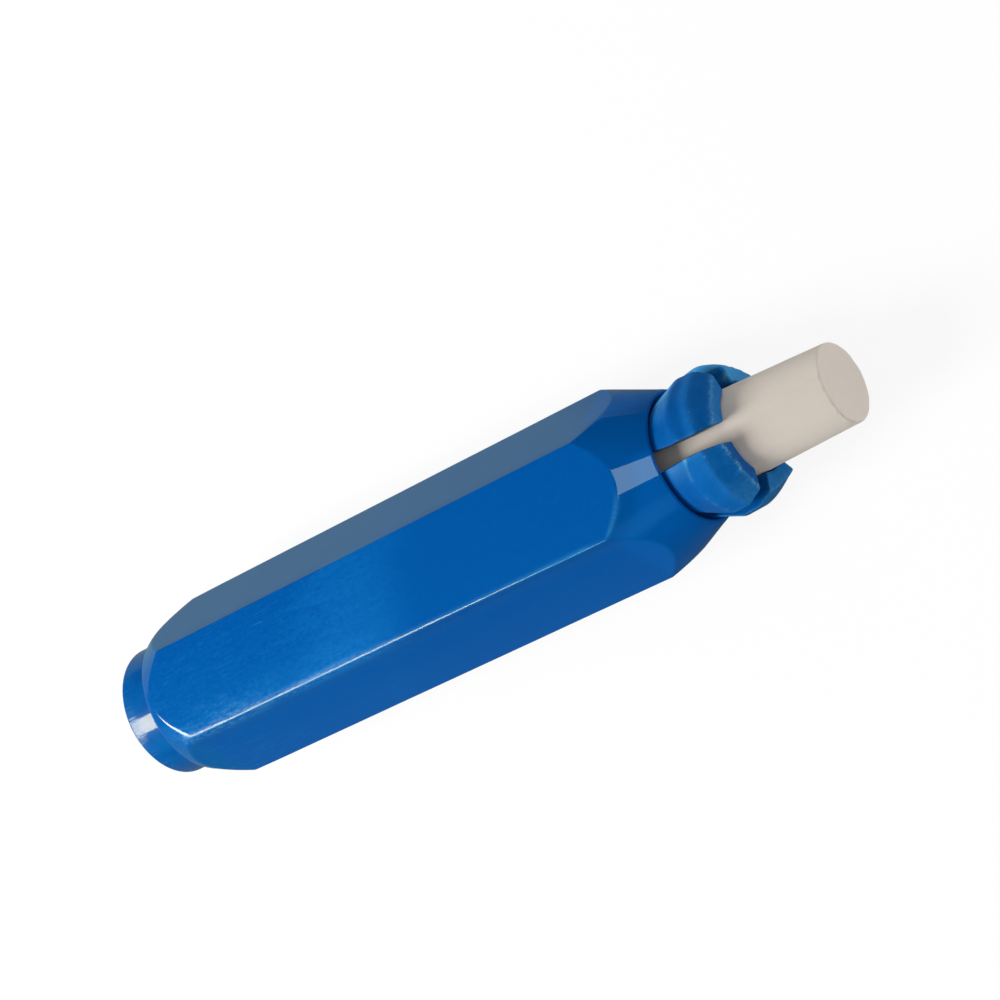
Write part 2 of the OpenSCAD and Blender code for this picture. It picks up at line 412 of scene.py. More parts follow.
def end_stations(start, stop, step):
    """Even steps from an end of the barrel to stop, then growing ones."""
    growing = stop + np.cumsum(step * 1.22 ** np.arange(0, 14))
    return np.concatenate([np.arange(start, stop, step), growing])


def bore_profile(x_rear, x_front):
    """The turned rest of the barrel: mouth lip, jaw seat, bores, shoulder and rear rim."""
    seat_lip = JAW_SEAT_R + 0.05 - SEAT_SLOPE * 0.4
    seat_end = MOUTH_X - (JAW_SEAT_R + 0.05 - FRONT_BORE) / SEAT_SLOPE
    return fillet_profile([
        (front_cone_r(x_front) - 1e-4, x_front + 0.04, 0),
        (front_cone_r(MOUTH_X - 0.12), MOUTH_X - 0.12, 0.28),
        (MOUTH_R - 0.16, MOUTH_X, 0.2),
        (6.98, MOUTH_X, 0.12),
        (seat_lip, MOUTH_X - 0.42, 0.3),
        (FRONT_BORE, seat_end, 0.6),
        (FRONT_BORE, SHOULDER_X, 0.12),
        (REAR_BORE, SHOULDER_X, 0.3),
        (REAR_BORE, RIM_X + 0.25, 0.3),
        (REAR_BORE + 0.25, RIM_X, 0.15),
        (rear_cone_r(RIM_X) - 0.02, RIM_X, 0.13),
        (rear_cone_r(x_rear) - 1e-4, x_rear - 0.04, 0)], steps=8, long_step=2.0)


def edge_rub_and_glint(x, phi, r):
    """Strength of the pale line along the near long edge, partly wear and partly painted highlight,
    and of a painted glint where the upper flat meets the front cone."""
    to_flat = FLAT_R - r * np.cos(flat_angle(phi))
    to_cone = (front_cone_r(x) - r) * CONE_COS
    deg = np.degrees(wrap(phi))
    # painted glint along the lower part of the front arc
    arc = ridge(to_flat, to_cone, 0.13) * (x > 0) \
        * np.clip((deg + 31) / 3, 0, 1) * np.clip((-6 - deg) / 12, 0, 1)
    rub_and_highlight = np.exp(-((deg + 29.7) / 57.3 * r / 0.19) ** 2) * np.interp(x, *EDGE_RUB_AND_HIGHLIGHT)
    rub_and_highlight = rub_and_highlight * (0.85 + 0.15 * np.sin(x * 2.3) * np.sin(x * 0.83 + 0.6))
    return np.maximum(arc, rub_and_highlight)


def barrel_piece():
    side = EDGE_STEPS
    flat = np.radians(sorted([-30 + q for q in side] + [30 - q for q in side[1:]] + [0.0]))
    angles = np.concatenate([flat + k * math.pi / 3 for k in range(6)])
    cols = len(angles)
    step = 0.11
    x_rear, x_front = RIM_X + 0.5, MOUTH_X - 0.9
    rear = end_stations(x_rear, -FINE_END_X, step)
    rear = rear[rear < -18]
    front = end_stations(x_front, FINE_END_X, -step)
    front = front[front > 18][::-1]
    middle = np.linspace(rear[-1], front[0], 72)[1:-1]
    xs = np.concatenate([rear, middle, front])

    # radius of the outside by bisection
    x, phi = np.meshgrid(xs, angles, indexing="ij")
    lo, hi = np.full(x.shape, 5.0), np.full(x.shape, 12.0)
    for _ in range(46):
        mid = (lo + hi) / 2
        inside = barrel_field(x, phi, mid) < 0
        lo, hi = np.where(inside, mid, lo), np.where(inside, hi, mid)
    r = (lo + hi) / 2

    # moulded flats are never quite true: a few microns of sink and ripple
    def ripple(p):
        return (0.010 * layered_noise(p * 0.11, 5, 3)).reshape(x.shape)
    s, c = np.sin(phi), np.cos(phi)
    points = np.stack([x, r * s, r * c], -1).reshape(-1, 3)
    fade = np.clip(np.minimum(x - x_rear, x_front - x) / 2.0, 0, 1)
    base = ripple(points)
    r = r + fade * base

    # normals from the field's slopes, tipped slightly by the ripple
    h = 1e-3
    gx = (barrel_field(x + h, phi, r) - barrel_field(x - h, phi, r)) / (2 * h)
    gr = (barrel_field(x, phi, r + h) - barrel_field(x, phi, r - h)) / (2 * h)
    gp = (barrel_field(x, phi + h, r) - barrel_field(x, phi - h, r)) / (2 * h) / r
    reach = 0.35
    tangent = np.stack([np.zeros_like(x), c, -s], -1).reshape(-1, 3)
    gx = gx - fade * ((ripple(points + np.array([reach, 0, 0])) - base) / reach)
    gp = gp - fade * ((ripple(points + reach * tangent) - base) / reach)
    outer = np.stack([x, r * s, AXIS_Z + r * c], -1)
    outer_normals = np.stack([gx, gr * s + gp * c, gr * c - gp * s], -1)

    profile = bore_profile(x_rear, x_front)
    bore, bore_normals = turned(profile, angles)
    verts = np.concatenate([outer.reshape(-1, 3), bore.reshape(-1, 3)])
    normals = np.concatenate([outer_normals.reshape(-1, 3), -bore_normals.reshape(-1, 3)])
    # painted highlight line and glint, with the edge wear, for the material
    arc = np.concatenate([edge_rub_and_glint(x, phi, r).ravel(), np.zeros(bore.size // 3)])
    faces = outward(verts, grid_faces(len(xs) + len(profile), cols, wrap_rows=True))
    return build("barrel_shell", verts, faces, normals, {"arc": arc})


# ---------------------------------------------------------------- jaws
# A jaw's own axes: x along the holder, t across the jaw, u away from the centre line.
SLIT_X = [36.0, 37.5, 40.0, 43.0, HEAD_X]   # stations of the slit tables below
USUAL_JAW = dict(
    slit_side=1.0,                  # sign of t of the side wall that stands out
    slit=[0, 0, 0, 0, 0],           # how far it stands out at SLIT_X
    front_r=6.40,                   # radius of the chamfer at the front face
    jag=0.05,                       # raggedness of the chamfer's front edge
    soft_side=1.0, soft=0.0,        # sign of t where edges are rounder, and by how much
    crown=0.10,                     # rounding between band, chamfer and back cone
    torn=0.10,                      # depth of the bites out of the front edge
    burr=0.35, burr_width=0.13,     # pale burr along the front edge
    # painted shade, 1 painted light to -1 painted shadow, of the back cone, band, chamfer, front
    # face and side walls
    shade=(0.0, 0.0, 0.0, 0.0, -0.50))
ODD_JAWS = {
    1: dict(slit_side=-1.0, slit=[0.0, 0.15, 0.48, 0.58, 0.42], jag=0.07, soft=0.18, crown=0.20,
            torn=0.14, burr=0.40, burr_width=0.20, shade=(-0.22, -0.30, -0.26, 0.50, -0.94)),
    2: dict(soft_side=-1.0, soft=0.38, crown=0.90, shade=(0.80, 0.82, 0.85, 0.95, -0.15)),
    4: dict(slit=[0.0, 0.0, 0.10, 0.14, 0.14], torn=0.14, shade=(0.30, 0.30, 0.50, 0.55, -0.25)),
    5: dict(slit_side=-1.0, slit=[0.0, 0.12, 0.45, 0.55, 0.55], front_r=6.24, jag=0.17,
            torn=0.26, burr=1.0, shade=(-0.22, 0.08, 0.12, -0.34, -0.94)),
}


def line_noise(t, scale, shift, seed):
    """Noise that varies along t only."""
    return value_noise(np.stack([0 * t, t * scale + shift, 0 * t], 1), seed)


def jaw_surfaces(jaw, x, t, u):
    """How far points lie outside each surface of a jaw's head. The chamfer's aren't yet scaled
    for its slope; ragged is what its torn front edge adds."""
    k = jaw.number
    r = np.hypot(t, u)
    # a wall that stands out is undercut: less than half of it is left at the bore
    stand_out = np.clip(jaw.slit_side * t, 0, 1) * np.interp(x, SLIT_X, jaw.slit) \
        * (0.40 + 0.60 * np.clip((r - 4.9) / 2.2, 0, 1))
    side = np.abs(t) * math.cos(JAW_HALF) - u * math.sin(JAW_HALF) + JAW_SLIT - stand_out
    # band and chamfer are flatter than the circle about the centre line
    band = np.hypot(t, u + 4.6) - 4.6 - (NOSE_R + BAND_TAPER * (NOSE_X - x))
    slope = (NOSE_R - jaw.front_r) / NOSE_LENGTH
    chamfer = np.hypot(t, u + 13.0) - 13.0 - (jaw.front_r + slope * (HEAD_X - x))
    tear = line_noise(t, 2.1, 9.0 * k, 91) + 0.6 * line_noise(t, 5.3, 4.0 * k, 92)
    ragged = jaw.jag * tear * np.clip((x - HEAD_X + 0.9) / 0.9, 0, 1)
    back_cone = (r - (NECK_R + SEAT_SLOPE * (x - BACK_X))) * math.cos(math.atan(SEAT_SLOPE))
    return SimpleNamespace(r=r, side=side, band=band, chamfer=chamfer, ragged=ragged,
                           slope=slope, back_cone=back_cone, front=x - HEAD_X)


def jaw_field(jaw, p):
    """Distance field of a jaw and its spring finger."""
    k = jaw.number
    x, t, u = p[:, 0], p[:, 1], p[:, 2]
    at = jaw_surfaces(jaw, x, t, u)
    r = at.r
    chamfer = (at.chamfer - at.ragged) * math.cos(math.atan(at.slope))
    head = round_max([at.band, chamfer, at.back_cone], jaw.crown)
    neck = np.interp(x, [ROOT_X, NECK_X, 60], [SLEEVE_OUT, NECK_R, NECK_R])
    finger = np.maximum(r - neck, x - (BACK_X + 0.8))
    outer = smooth_min(head, finger, 0.25)
    bore = np.interp(x, [ROOT_X, NECK_X - 3, NECK_X - 1, 60],
                     [SLEEVE_IN, SLEEVE_IN, GRIP_R, GRIP_R])
    # moulding wear: soft dents in the faces, a torn edge round the front
    head_zone = np.clip((x - 37.0) / 2.0, 0, 1)
    dents = 0.020 * layered_noise(p * 0.5 + 11.0 * k, 31 + k, 2)
    lip = ridge(at.front, chamfer, 0.30)
    bite = np.maximum(0, value_noise(p * np.array([0.5, 1.25, 1.25]) + 5.0 * k, 71 + k)
                      + 0.5 * value_noise(p * np.array([0.8, 3.1, 3.1]) + 5.0 * k, 81 + k) + 0.15)
    edge_r = 0.13 + jaw.soft * np.clip((jaw.soft_side * t - 1.2) / 2.0, 0, 1) \
        * np.clip((x - 38.0) / 1.5, 0, 1)
    solid = round_max([outer, at.side, bore - r, at.front, ROOT_X - x], edge_r)
    return solid + head_zone * (dents * (r > 5.2) + lip * (jaw.torn * bite))


def jaw_attributes(jaw, x, t, u):
    """wear: 1 on an edge, 0 within a face. tone: painted light and shade of each face.
    burr: white marks, and a painted highlight speck on jaw 2.
    """
    k = jaw.number
    at = jaw_surfaces(jaw, x, t, u)
    r, side, band, front, back_cone = at.r, at.side, at.band, at.front, at.back_cone
    smooth = at.chamfer * 0.85
    chamfer = smooth - 0.85 * at.ragged
    wear = np.maximum.reduce([
        ridge(side, smooth, 0.26), ridge(front, smooth, 0.34), ridge(front, side, 0.26),
        ridge(side, band, 0.26), 0.45 * ridge(band, smooth, 0.25),
        0.5 * ridge(front, GRIP_R - r, 0.25)])
    wear *= x > 38.0

    # painted light and shade per face: jaw 1's back cone lightens towards its outline and its band
    # near the chamfer, jaw 5's chamfer lightens at the -t side, jaw 2's slot wall lightens towards
    # its outer edge
    shade = [np.full(len(x), v) for v in jaw.shade]
    if k == 1:
        shade[0] = shade[0] + 1.30 * np.clip((t + 1.2) / 3.8, 0, 1)
        shade[1] = shade[1] + 0.42 * np.clip((smooth + 0.62) / 0.30, 0, 1) \
            + 0.75 * np.clip((t - 2.4) / 1.6, 0, 1)
    if k == 5:
        shade[2] = shade[2] + 0.55 * np.clip((-0.4 - t) / 1.8, 0, 1)
    if k == 2:
        shade[4] = shade[4] + 1.15 * np.clip((r - 6.1) / 0.9, 0, 1)
    fields = np.stack([back_cone, band, chamfer, front, side])
    weight = np.exp(np.clip(fields - fields.max(0), -1, 0) / 0.05)
    tone = (weight * np.stack(shade)).sum(0) / weight.sum(0)
    tone *= np.clip((x - 37.0) / 1.0, 0, 1) * (r > 5.0)

    burr = ridge(front + 0.04, chamfer + 0.02, jaw.burr_width) * jaw.burr * (x > 38.0)
    bruise_and_glint = np.zeros(len(x))
    if k == 5:
        # a bruised line where the back cone meets the band, whitest at the +t side
        bruise_and_glint = ridge(back_cone, band, 0.10) * (
            np.clip((t - 3.0) / 0.6, 0, 1)
            + 0.25 * np.clip(line_noise(t, 2.7, 0.0, 17) * 2, 0, 1))
    if k == 2:
        # a painted highlight speck on the front face
        spot = (t + 2.45) ** 2 + 0.35 * (x - HEAD_X) ** 2 + (r - 5.55) ** 2
        bruise_and_glint = 1.3 * np.exp(-(spot / 0.42 ** 2))
    return {"wear": wear, "tone": tone, "burr": np.maximum(burr, bruise_and_glint)}


def jaw_piece(k):
    """Jaw k, 1 to 5, centred 36 + 72(k-1) degrees from straight up towards +Y."""
    jaw = SimpleNamespace(number=k, **{**USUAL_JAW, **ODD_JAWS.get(k, {})})
    step = 0.105
    head = np.arange(34.0, HEAD_X + 0.35, step)
    finger = [np.arange(ROOT_X - 0.33, ROOT_X + 0.6, 0.11),
              np.arange(ROOT_X + 0.6, 34.0, 0.3)]
    points, quads, slope = surface_nets(
        lambda p: jaw_field(jaw, p), np.concatenate(finger + [head]),
        np.arange(-5.2, 5.2 + step, step), np.arange(3.4, 8.4 + step, step))
    # u lies along (sin, cos) in (y, z), t along (cos, -sin)
    phi = math.radians(36 + 72 * (k - 1))
    c, s = math.cos(phi), math.sin(phi)
    x, t, u = points.T
    verts = np.stack([x, u * s + t * c, AXIS_Z + u * c - t * s], 1)
    gx, gt, gu = slope.T
    normals = np.stack([gx, gu * s + gt * c, gu * c - gt * s], 1)
    return build(f"jaw_{k}_finger", verts, outward(verts, quads), normals,
                 jaw_attributes(jaw, x, t, u))


# ---------------------------------------------------------------- sleeve and button
def sleeve_piece():
    """The collet's tube, with a snap ridge near its rear end and a wider front part."""
    guide_r, ridge_r = FRONT_BORE - 0.08, 6.35
    profile = fillet_profile([
        (SLEEVE_IN, 0.0, 0),
        (SLEEVE_IN, TAIL_X, 0.1),
        (SLEEVE_OUT - 0.4, TAIL_X, 0.15),
        (SLEEVE_OUT, TAIL_X + 0.4, 0.15),
        (SLEEVE_OUT, TAIL_X + 1.2, 0.15),
        (ridge_r, TAIL_X + 1.6, 0.15),
        (ridge_r, TAIL_X + 2.2, 0.15),
        (SLEEVE_OUT, TAIL_X + 2.6, 0.15),
        (SLEEVE_OUT, SHOULDER_X + 0.4, 0.15),
        (guide_r, SHOULDER_X + 0.8, 0.15),
        (guide_r, ROOT_X, 0.02),
        (SLEEVE_IN, ROOT_X, 0.02),
        (SLEEVE_IN, 0.02, 0)], steps=5, long_step=2.5)
    cols = 144
    verts, normals = turned(profile, ring_angles(cols))
    verts = verts.reshape(-1, 3)
    faces = outward(verts, grid_faces(len(profile), cols, wrap_rows=True))
    return build("collet_sleeve_tube", verts, faces, -normals.reshape(-1, 3))


def button_piece():
    end, front = BUTTON_LO[0], BUTTON_HI[0]
    floor_x = end + 1.6
    socket_r, snap_r = SLEEVE_OUT + 0.04, 6.39
    # from the middle of the pocket's floor outwards and round to the middle of the end face
    profile = fillet_profile([
        (0.02, floor_x, 0),
        (SLEEVE_IN, floor_x, 0.3),
        (SLEEVE_IN, TAIL_X - 0.1, 0.1),
        (socket_r, TAIL_X - 0.1, 0.1),
        (socket_r, TAIL_X + 1.1, 0.1),
        (snap_r, TAIL_X + 1.5, 0.1),
        (snap_r, TAIL_X + 2.3, 0.1),
        (socket_r, TAIL_X + 2.7, 0.1),
        (socket_r, front, 0.1),
        (BUTTON_R - 0.3, front, 0.15),
        (BUTTON_R, front - 0.3, 0.3),
        (BUTTON_R, end + 0.32, 0.3),
        (BUTTON_R - 0.32, end, 0.3),
        (0.02, end, 0)], steps=7, long_step=0.5)
    cols = 720
    angles = ring_angles(cols)
    s, c = np.sin(angles), np.cos(angles)
    r, x = profile[:, :1], profile[:, 1:2]
    # draw lines from the mould run along the side, stronger on the end that the thumb wears
    side = (r > BUTTON_R - 0.35) & (x < front - 0.2)
    points = np.stack([np.zeros(cols), s * 15, c * 15], 1)
    lines = value_noise(points * 1.1, 3) * 0.6 + value_noise(points * 2.9, 4) * 0.4
    fade = np.clip((end + 4.4 - x) / 3.0, 0.12, 1) * np.clip((x - end) / 0.25, 0, 1)
    dent = -0.0022 * (lines[None] + 1) * fade * side
    verts, normals = turned(profile, angles, dent)
    # normals are tipped by the lines' slope round the button
    slope = (np.roll(dent, -1, 1) - np.roll(dent, 1, 1)) \
        / (2 * (2 * math.pi / cols) * np.maximum(r + dent, 1))
    normals[..., 1] += slope * c
    normals[..., 2] -= slope * s
    verts = np.concatenate([verts.reshape(-1, 3), [[floor_x, 0, AXIS_Z]], [[end, 0, AXIS_Z]]])
    normals = np.concatenate([normals.reshape(-1, 3), [[1, 0, 0]], [[-1, 0, 0]]])
    faces = capped_faces(len(profile), cols, swap=True)
    return build("push_button_cap", verts, faces, normals)


# ---------------------------------------------------------------- spring
def spring_piece():
    """Round wire, with a closed and ground coil at each end."""
    wire = 0.8
    x0, x1 = SPRING_LO[0], SPRING_HI[0]
    coil_r = (SPRING_HI[2] - SPRING_LO[2]) / 2 - wire / 2
    open_coils, closed = 7, wire + 0.05
    open_pitch = ((x1 - x0) - wire - 2 * closed) / open_coils
    turns = open_coils + 2
    steps, sides = ((72, 20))
    t = np.linspace(0, turns, turns * steps + 1)
    rise = wire / 2 + closed * np.minimum(t, 1) + open_pitch * np.clip(t - 1, 0, open_coils) \
        + closed * np.maximum(0, t - 1 - open_coils)
    # ease the pitch in and out of the closed ends
    kernel = np.ones(steps // 3 * 2 + 1)
    kernel /= kernel.sum()
    padded = np.pad(rise, len(kernel) // 2, mode="reflect", reflect_type="odd")
    x = x0 + np.convolve(padded, kernel, mode="valid")
    a = 2 * math.pi * t
    centre = np.stack([x, coil_r * np.sin(a), AXIS_Z + coil_r * np.cos(a)], 1)
    tangent = np.gradient(centre, axis=0)
    tangent /= np.linalg.norm(tangent, axis=1, keepdims=True)
    radial = np.stack([np.zeros_like(a), np.sin(a), np.cos(a)], 1)
    third = np.cross(tangent, radial)
    third /= np.linalg.norm(third, axis=1, keepdims=True)
    b = ring_angles(sides)[None, :, None]
    verts = centre[:, None] + wire / 2 * (np.cos(b) * radial[:, None] + np.sin(b) * third[:, None])
    verts[..., 0] = np.clip(verts[..., 0], x0, x1)
    verts = np.concatenate([verts.reshape(-1, 3), centre[:1], centre[-1:]])
    return build("return_spring_coil", verts, capped_faces(len(t), sides))


# ---------------------------------------------------------------- chalk
# broken places on the writing end's rim: angle from straight up towards +Y, size, depth
CHIPS = (
    (-52, 0.50, 0.11), (-30, 0.36, 0.08), (-78, 0.42, 0.09), (10, 0.32, 0.06),
    (-6, 0.3, 0.06), (46, 0.4, 0.05), (150, 0.5, 0.04), (-140, 0.5, 0.04))
RIM_ROUND = 0.22                 # rounding of the writing end's rim
SIDE_HOLES, END_HOLES = 34, 9


def chalk_radius(x):
    rear, tip = CHALK_LO[0], CHALK_HI[0]
    return np.interp(x, [rear, tip - 16, tip - 11, tip],
                     [CHALK_R, CHALK_R, CHALK_TIP_R + (CHALK_R - CHALK_TIP_R) * 0.7, CHALK_TIP_R])


def chalk_rings():
    """Radius and x of each ring, from the middle of the writing end to the middle of the rear."""
    rear, tip = CHALK_LO[0], CHALK_HI[0]
    fine = 0.09
    side = np.concatenate([np.arange(tip - RIM_ROUND, tip - 21, -fine),
                           np.arange(tip - 21, rear + 0.35, -0.8)])
    rim = np.linspace(0, math.pi / 2, 7)[:-1]
    face = np.linspace(0.15, CHALK_TIP_R - RIM_ROUND, 44)[:-1]
    radii = np.concatenate([
        face, CHALK_TIP_R - RIM_ROUND + RIM_ROUND * np.sin(rim), chalk_radius(side),
        [CHALK_R - 0.03, CHALK_R - 0.12, CHALK_R - 0.3], np.linspace(CHALK_R - 0.9, 0.3, 6)])
    xs = np.concatenate([
        np.full(len(face), tip), tip - RIM_ROUND + RIM_ROUND * np.cos(rim), side,
        [rear + 0.14, rear + 0.03, rear], np.full(6, rear)])
    return radii[:, None], xs[:, None]


def chalk_wear(points, rim_distance):
    """How deep the cast surface is worn at each point: grain, air holes and a broken rim."""
    tip = CHALK_HI[0]
    edge = np.clip((rim_distance - (CHALK_TIP_R - 0.35)) / 0.35, 0, 1) \
        * np.clip((points[:, 0] - (tip - 0.45)) / 0.45, 0, 1)
    depth = 0.010 * (layered_noise(points * 2.2, 9, 4) + 0.6) \
        + 0.014 * np.maximum(0, value_noise(points * 0.45, 12))
    depth = np.maximum(depth, 0)
    depth += edge * 0.06 * np.maximum(0, layered_noise(points * 1.3, 21, 3) + 0.10)

    rng = np.random.default_rng(4)
    x = tip - rng.uniform(0.4, 17, SIDE_HOLES)
    a = rng.uniform(0, 2 * math.pi, SIDE_HOLES)
    side_size = rng.uniform(0.05, 0.11, SIDE_HOLES)
    side = np.stack([x, chalk_radius(x) * np.sin(a), chalk_radius(x) * np.cos(a)], 1)
    r = CHALK_TIP_R * np.sqrt(rng.uniform(0, 0.9, END_HOLES))
    a = rng.uniform(0, 2 * math.pi, END_HOLES)
    end = np.stack([np.full(END_HOLES, tip), r * np.sin(a), r * np.cos(a)], 1)
    sizes = np.concatenate([side_size, rng.uniform(0.05, 0.10, END_HOLES)])
    for centre, size in zip(np.concatenate([side, end]), sizes):
        near = np.abs(points[:, 0] - centre[0]) < size * 2
        d = np.linalg.norm(points[near] - centre, axis=1)
        depth[near] += 0.35 * size * np.exp(-(d / size) ** 2 * 1.4)

    for deg, size, cut in CHIPS:
        a = math.radians(deg)
        centre = np.array([tip, CHALK_TIP_R * math.sin(a), CHALK_TIP_R * math.cos(a)])
        d = np.linalg.norm(points - centre, axis=1)
        jag = 1 + 0.5 * value_noise(points * 3.1 + deg, 40)
        depth += cut * np.clip(1.15 - d / size * jag, 0, 0.8)
    return depth


def chalk_piece():
    """A cast stick with a slight taper to the writing end."""
    cols = 540
    rear, tip = CHALK_LO[0], CHALK_HI[0]
    angles = ring_angles(cols)[None]
    r, x = chalk_rings()
    points = np.stack([x + 0 * angles, r * np.sin(angles), r * np.cos(angles)], -1).reshape(-1, 3)
    # the surface is worn in from the side and back from the end
    distance = np.hypot(points[:, 1], points[:, 2])
    inward = -np.stack([np.zeros(len(points)), points[:, 1], points[:, 2]], 1) \
        / np.maximum(distance, 1e-6)[:, None]
    back = np.array([-1.0, 0, 0])
    share = np.where(points[:, 0] >= tip - 1e-6, 1.0,
                     np.where(points[:, 0] > tip - 0.23, 0.6, 0.0))[:, None]
    direction = inward * (1 - share) + back * share
    direction /= np.linalg.norm(direction, axis=1, keepdims=True)
    points = points + direction * chalk_wear(points, distance)[:, None]
    # stay inside the stick's own space
    distance = np.hypot(points[:, 1], points[:, 2])
    scale = np.minimum(1, chalk_radius(points[:, 0]) / np.maximum(distance, 1e-6))
    points[:, 1:] *= scale[:, None]
    points[:, 0] = np.minimum(points[:, 0], tip)
    verts = points + np.array([0, 0, AXIS_Z])
    verts = np.concatenate([verts, [verts[:cols].mean(0)], [[rear, 0, AXIS_Z]]])
    return build("chalk_stick_cast", verts, capped_faces(len(r), cols))


# ---------------------------------------------------------------- node helpers
class Value:
    """An output socket. Each + - * or abs() of it makes one Math node."""

    def __init__(self, nodes, socket):
        self.nodes, self.socket = nodes, socket

    def __add__(self, other):
        return self.nodes.math("ADD", self, other)

    def __radd__(self, other):
        return self.nodes.math("ADD", other, self)

    def __sub__(self, other):
        return self.nodes.math("SUBTRACT", self, other)

    def __mul__(self, other):
        return self.nodes.math("MULTIPLY", self, other)

    def __abs__(self):
        return self.nodes.math("ABSOLUTE", self)

    def most(self, other):
        return self.nodes.math("MAXIMUM", self, other)

    def clamped(self):
        """The same value, held to 0..1 by its own Math node."""
        self.socket.node.use_clamp = True
        return self

    def pick(self, key):
        """Another output of the same node."""
        return Value(self.nodes, self.socket.node.outputs[key])


class Nodes:
    """Short calls that add nodes to a tree and give back their outputs."""

    def __init__(self, tree):
        self.tree = tree

    def put(self, socket, value):
        """Links a Value to an input, or sets the input; colours are given as three numbers."""
        if isinstance(value, Value):
            self.tree.links.new(value.socket, socket)
        elif socket.type == "RGBA":
            socket.default_value = (*value, 1)
        else:
            socket.default_value = value

    def node(self, kind, inputs=None, **settings):
        node = self.tree.nodes.new(kind)
        for key, value in settings.items():
            setattr(node, key, value)
        for key, value in (inputs or {}).items():
            self.put(node.inputs[key], value)
        return Value(self, node.outputs[0])

    def math(self, operation, *values):
        return self.node("ShaderNodeMath", dict(enumerate(values)), operation=operation)

    def coords(self, scale=(1000, 1000, 1000), turn=0.0):
        """Object coordinates, in millimetres by default, turned about Z."""
        place = self.node("ShaderNodeTexCoord").pick("Object")
        return self.node("ShaderNodeMapping", {
            "Vector": place, "Scale": scale, "Rotation": (0.0, 0.0, turn)})

    def xyz(self, vector):
        parts = self.node("ShaderNodeSeparateXYZ", {0: vector})
        return [parts.pick(k) for k in range(3)]

    def noise(self, vector, scale=1.0, detail=2.0, rough=0.5, distort=0.0):
        return self.node("ShaderNodeTexNoise", {
            "Vector": vector, "Scale": scale, "Detail": detail, "Roughness": rough,
            "Distortion": distort}).pick("Fac")

    def attribute(self, name):
        return self.node("ShaderNodeAttribute", attribute_name=name).pick("Fac")

    def ramp(self, value, start, end, low=0.0, high=1.0):
        """Grey ramp from low at start to high at end."""
        ramp = self.node("ShaderNodeValToRGB", {"Fac": value})
        stops = ((start, low), (end, high))
        for stop, (place, grey) in zip(ramp.socket.node.color_ramp.elements, stops):
            stop.position = place
            stop.color = (grey, grey, grey, 1)
        return ramp

    def fade(self, value, start, end, low=0.0, high=1.0, smooth=True):
        """low where value is start, high where it is end."""
        kind = {"interpolation_type": "SMOOTHSTEP"} if smooth else {}
        return self.node("ShaderNodeMapRange", dict(enumerate((value, start, end, low, high))),
                         clamp=True, **kind)

    def mix(self, share, a, b):
        """Colour a with a share of b over it."""
        return self.node("ShaderNodeMix", {0: share, 6: a, 7: b}, data_type="RGBA").pick(2)

    def blend(self, share, a, b):
        """Shader a with a share of shader b."""
        return self.node("ShaderNodeMixShader", {0: share, 1: a, 2: b})

    def bump(self, height, strength, distance):
        return self.node("ShaderNodeBump", {
            "Strength": strength, "Distance": distance, "Height": height})

    def surface(self, shader):
        self.put(self.output.inputs["Surface"], shader)

    def principled(self, inputs):
        return self.node("ShaderNodeBsdfPrincipled", inputs)

    def gloss_pair(self, tone, normal, share, rough, tint, haze_rough, haze_tint):
        """A sharp skin reflection with a share of it spread into a haze, over one colour."""
        skin, haze_and_sheen = [self.principled({
            "Base Color": tone, "Roughness": spread, "IOR": 1.5, "Specular IOR Level": 0.5,
            "Specular Tint": colour, "Normal": normal})
            for spread, colour in ((rough, tint), (haze_rough, haze_tint))]
        self.surface(self.blend(share, skin, haze_and_sheen))


def new_material(name):
    material = bpy.data.materials.new(name)
    material.use_nodes = True
    nodes = Nodes(material.node_tree)
    nodes.tree.nodes.clear()
    nodes.output = nodes.tree.nodes.new("ShaderNodeOutputMaterial")
    return material, nodes


# ---------------------------------------------------------------- materials
BLUE = (0.0, 0.091, 0.380)              # barrel's upper flat, and the button
HAZE_BLUE = (0.001, 0.142, 0.455)       # button, clouded
PALE_HAZE_AND_SHEEN_BLUE = (0.004, 0.176, 0.560)       # barrel, clouded by handling, with a painted sheen at the rear of the near edge
# painted shading: the barrel's other faces get their own lighter or darker copies of the upper
# flat's blue
SIDE_PAINTED_SHADE_BLUE = (0.0, 0.105, 0.430)         # barrel's other flats
FAR_PAINTED_SHADE_BLUE = (0.004, 0.110, 0.385)
FRONT_CONE_PAINTED_LIGHT_BLUE = (0.0, 0.118, 0.470)
FRONT_CONE_PAINTED_SHADE_BLUE = (0.0, 0.088, 0.360)
REAR_CONE_PAINTED_SHADE_BLUE = (0.0, 0.114, 0.390)
SCUFF_GREY = (0.045, 0.235, 0.50)
SCRATCH_BLUE = (0.006, 0.20, 0.54)
RUB_AND_HIGHLIGHT_BLUE = (0.03, 0.27, 0.58)
DUST = (0.01, 0.03, 0.06)
DRAWN_BLUE = (0.006, 0.185, 0.52)       # the button's draw lines
# hair scratches: coordinate scale, turn about Z, noise where one starts and where it is full
SCRATCHES = (
    ((230, 9000, 9000), 0.035, 0.615, 0.70),
    ((900, 7600, 7600), 0.62, 0.665, 0.74),
    ((800, 7000, 7000), -0.45, 0.68, 0.76))


